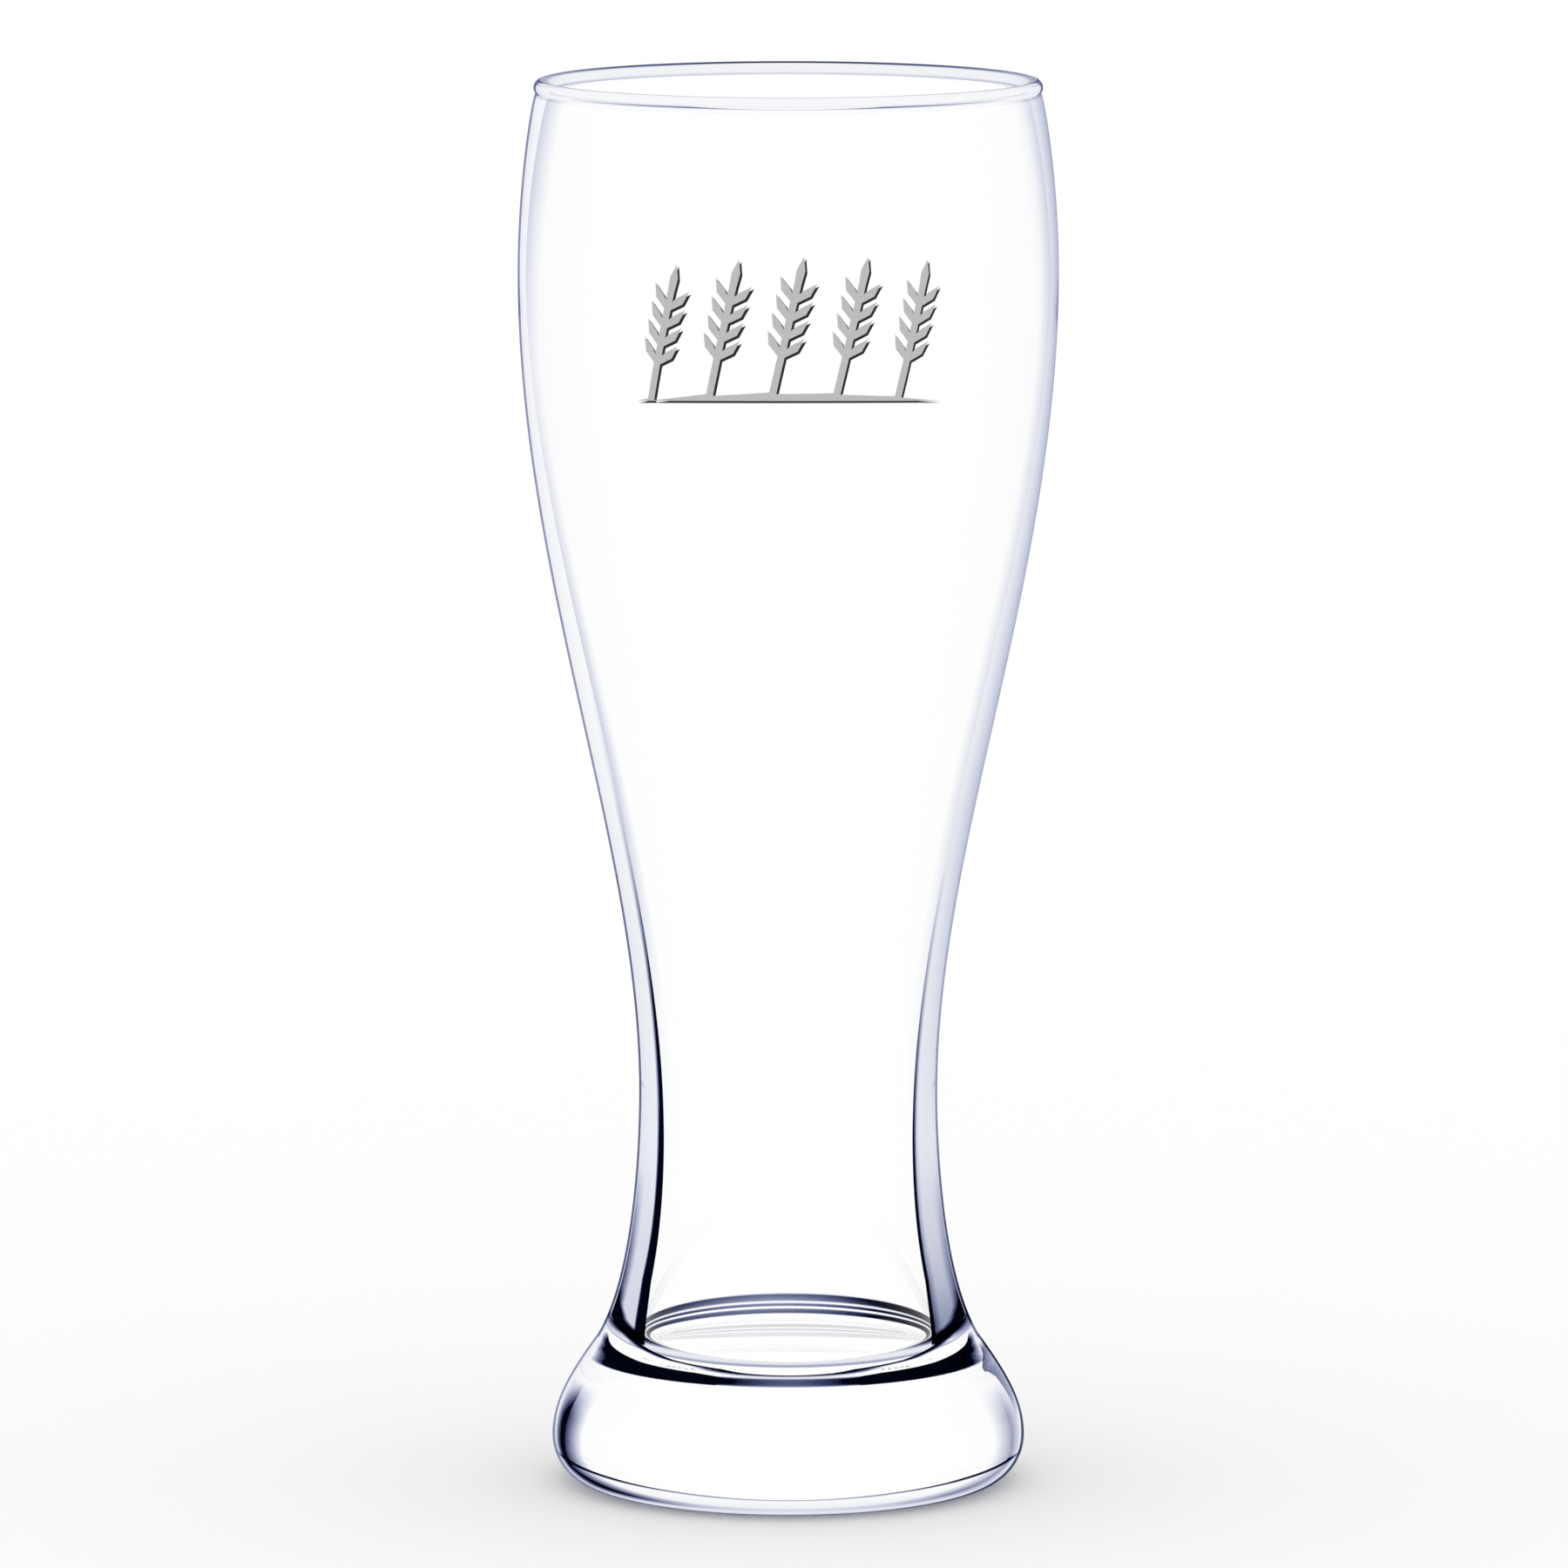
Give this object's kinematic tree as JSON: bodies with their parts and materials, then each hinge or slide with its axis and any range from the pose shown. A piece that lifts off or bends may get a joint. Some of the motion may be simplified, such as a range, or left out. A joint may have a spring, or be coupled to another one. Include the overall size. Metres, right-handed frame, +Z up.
{
  "type": "pilsner glass",
  "caption": "Tall footed pilsner glass: clear blown bowl with a wide belly and a narrow waist, beaded rim, solid pressed foot and a grey and black barley print. Holds beer.",
  "frame": {"origin": "on the table, at the middle of the foot's underside", "axes": "+Z up the axis of the glass to the rim; the print faces -Y; +X to the right as the print is read"},
  "size_m": [0.0764, 0.0767, 0.2],
  "materials": {
    "clear_glass": "fire-polished clear soda-lime glass",
    "black_ink": "fired black screen ink, satin",
    "grey_ink": "fired light grey screen ink, satin"
  },
  "bodies": {
    "root": {"foot": "clear_glass", "bowl": "clear_glass", "rim_bead": "clear_glass", "print_shadow": "black_ink", "print_face": "grey_ink"}
  },
  "joints": []
}
